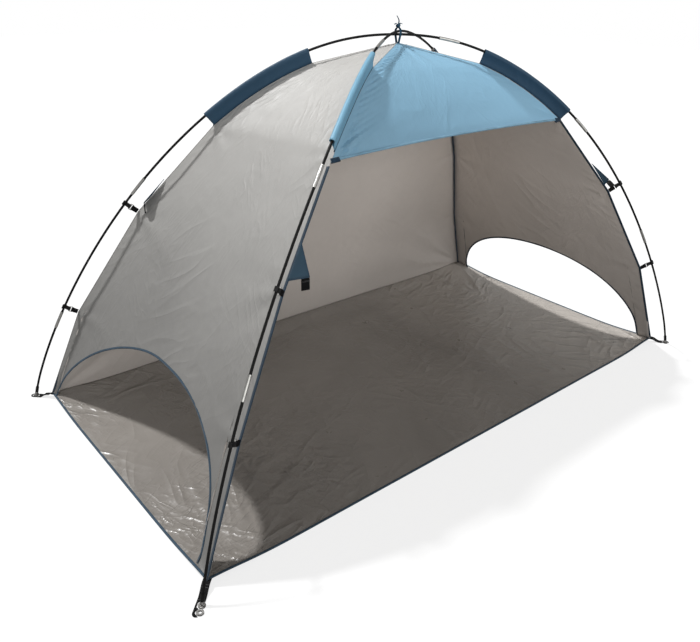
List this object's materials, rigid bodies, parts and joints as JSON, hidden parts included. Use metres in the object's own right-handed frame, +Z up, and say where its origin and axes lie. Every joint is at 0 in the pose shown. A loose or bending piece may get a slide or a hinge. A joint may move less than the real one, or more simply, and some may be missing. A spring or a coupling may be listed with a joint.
{
  "type": "tarp shelter",
  "caption": "Open-fronted beach shelter: a fabric canopy with arched side windows and a sewn-in floor, hung from two crossed sectioned poles by hooks and pole sleeves.",
  "frame": {"origin": "on the ground at the centre of the footprint", "axes": "+Z up, +X along the long side towards the right when looking in, -Y out of the open front"},
  "size_m": [2.115, 1.16, 1.1894],
  "materials": {
    "shell_fabric": "satin",
    "blue_fabric": "satin",
    "blue_piping": "matte",
    "navy_fabric": "matte",
    "floor_coated": "satin",
    "black_webbing": "matte",
    "navy_tape": "matte",
    "pole_rod": "satin",
    "ferrule_metal": "satin",
    "eyelet_metal": "polished",
    "ring_metal": "polished",
    "black_plastic": "satin",
    "elastic_cord": "matte"
  },
  "bodies": {
    "shelter": {"apex_tie": "navy_tape", "back_wall": "shell_fabric", "clip_rings": "ring_metal", "clip_straps": "black_webbing", "corner_eyelets": "eyelet_metal", "corner_strap_back_left": "black_webbing", "corner_strap_back_right": "black_webbing", "corner_strap_front_left": "black_webbing", "corner_strap_front_right": "black_webbing", "groundsheet": "floor_coated", "groundsheet_binding": "blue_piping", "gusset_back_left": "blue_fabric", "gusset_back_right": "blue_fabric", "gusset_front_left": "blue_fabric", "gusset_front_right": "blue_fabric", "left_wall": "shell_fabric", "left_window_binding": "blue_piping", "pole_a_ferrules": "ferrule_metal", "pole_a_section_1": "pole_rod", "pole_a_section_2": "pole_rod", "pole_a_section_3": "pole_rod", "pole_a_section_4": "pole_rod", "pole_a_section_5": "pole_rod", "pole_a_section_6": "pole_rod", "pole_a_section_7": "pole_rod", "pole_a_shock_cord": "elastic_cord", "pole_b_ferrules": "ferrule_metal", "pole_b_section_1": "pole_rod", "pole_b_section_2": "pole_rod", "pole_b_section_3": "pole_rod", "pole_b_section_4": "pole_rod", "pole_b_section_5": "pole_rod", "pole_b_section_6": "pole_rod", "pole_b_section_7": "pole_rod", "pole_b_shock_cord": "elastic_cord", "pole_tips": "ferrule_metal", "right_wall": "shell_fabric", "right_window_binding": "blue_piping", "roof_panel": "blue_fabric", "seam_binding_back_left": "blue_piping", "seam_binding_back_right": "blue_piping", "seam_binding_front_left": "blue_piping", "seam_binding_front_right": "blue_piping", "sleeve_back_left": "navy_fabric", "sleeve_back_right": "navy_fabric", "sleeve_front_left": "blue_fabric", "sleeve_front_right": "navy_fabric"},
    "clip_front_left_lower": {"hook_front_left_lower": "black_plastic"},
    "clip_front_left_upper": {"hook_front_left_upper": "black_plastic"},
    "clip_front_right_lower": {"hook_front_right_lower": "black_plastic"},
    "clip_front_right_upper": {"hook_front_right_upper": "black_plastic"},
    "clip_back_left_lower": {"hook_back_left_lower": "black_plastic"},
    "clip_back_left_upper": {"hook_back_left_upper": "black_plastic"},
    "clip_back_right_lower": {"hook_back_right_lower": "black_plastic"},
    "clip_back_right_upper": {"hook_back_right_upper": "black_plastic"},
    "tab_front_left": {"guy_tab_front_left": "black_webbing"},
    "tab_front_right": {"guy_tab_front_right": "black_webbing"},
    "tab_back_left": {"guy_tab_back_left": "black_webbing"},
    "tab_back_right": {"guy_tab_back_right": "black_webbing"}
  },
  "joints": [
    {"name": "front_left_lower_hook_swing", "type": "hinge", "parent": "shelter", "child": "clip_front_left_lower", "pos_m": [-0.89456, -0.49664, 0.34806], "axis": [-0.4325, -0.1739, -0.8847], "range_deg": [0, 120]},
    {"name": "front_left_upper_hook_swing", "type": "hinge", "parent": "shelter", "child": "clip_front_left_upper", "pos_m": [-0.71737, -0.42668, 0.64882], "axis": [-0.5606, -0.2252, -0.7969], "range_deg": [0, 120]},
    {"name": "front_right_lower_hook_swing", "type": "hinge", "parent": "shelter", "child": "clip_front_right_lower", "pos_m": [0.8715, -0.49485, 0.35535], "axis": [0.4734, -0.1711, -0.8641], "range_deg": [0, 120]},
    {"name": "front_right_upper_hook_swing", "type": "hinge", "parent": "shelter", "child": "clip_front_right_upper", "pos_m": [0.66884, -0.4214, 0.66585], "axis": [0.5963, -0.2249, -0.7707], "range_deg": [0, 120]},
    {"name": "back_left_lower_hook_swing", "type": "hinge", "parent": "shelter", "child": "clip_back_left_lower", "pos_m": [-0.91171, 0.46734, 0.31992], "axis": [-0.3836, 0.2969, -0.8745], "range_deg": [0, 120]},
    {"name": "back_left_upper_hook_swing", "type": "hinge", "parent": "shelter", "child": "clip_back_left_upper", "pos_m": [-0.73253, 0.32665, 0.65803], "axis": [-0.5011, 0.3844, -0.7753], "range_deg": [0, 120]},
    {"name": "back_right_lower_hook_swing", "type": "hinge", "parent": "shelter", "child": "clip_back_right_lower", "pos_m": [0.90104, 0.47176, 0.3057], "axis": [0.419, 0.2871, -0.8614], "range_deg": [0, 120]},
    {"name": "back_right_upper_hook_swing", "type": "hinge", "parent": "shelter", "child": "clip_back_right_upper", "pos_m": [0.70638, 0.3333, 0.64369], "axis": [0.5254, 0.3739, -0.7643], "range_deg": [0, 120]},
    {"name": "front_left_tab_swing", "type": "hinge", "parent": "shelter", "child": "tab_front_left", "pos_m": [-0.64486, -0.42734, 0.65932], "axis": [-0.8278, 0.5271, -0.1921], "range_deg": [-75, 75]},
    {"name": "front_right_tab_swing", "type": "hinge", "parent": "shelter", "child": "tab_front_right", "pos_m": [0.65376, -0.39855, 0.67958], "axis": [-0.9316, -0.1255, -0.341], "range_deg": [0, 75]},
    {"name": "back_left_tab_swing", "type": "hinge", "parent": "shelter", "child": "tab_back_left", "pos_m": [-0.70922, 0.27488, 0.67475], "axis": [0.4076, 0.8291, -0.3827], "range_deg": [0, 75]},
    {"name": "back_right_tab_swing", "type": "hinge", "parent": "shelter", "child": "tab_back_right", "pos_m": [0.68771, 0.32104, 0.66884], "axis": [-0.6405, -0.2525, -0.7252], "range_deg": [0, 75]}
  ]
}
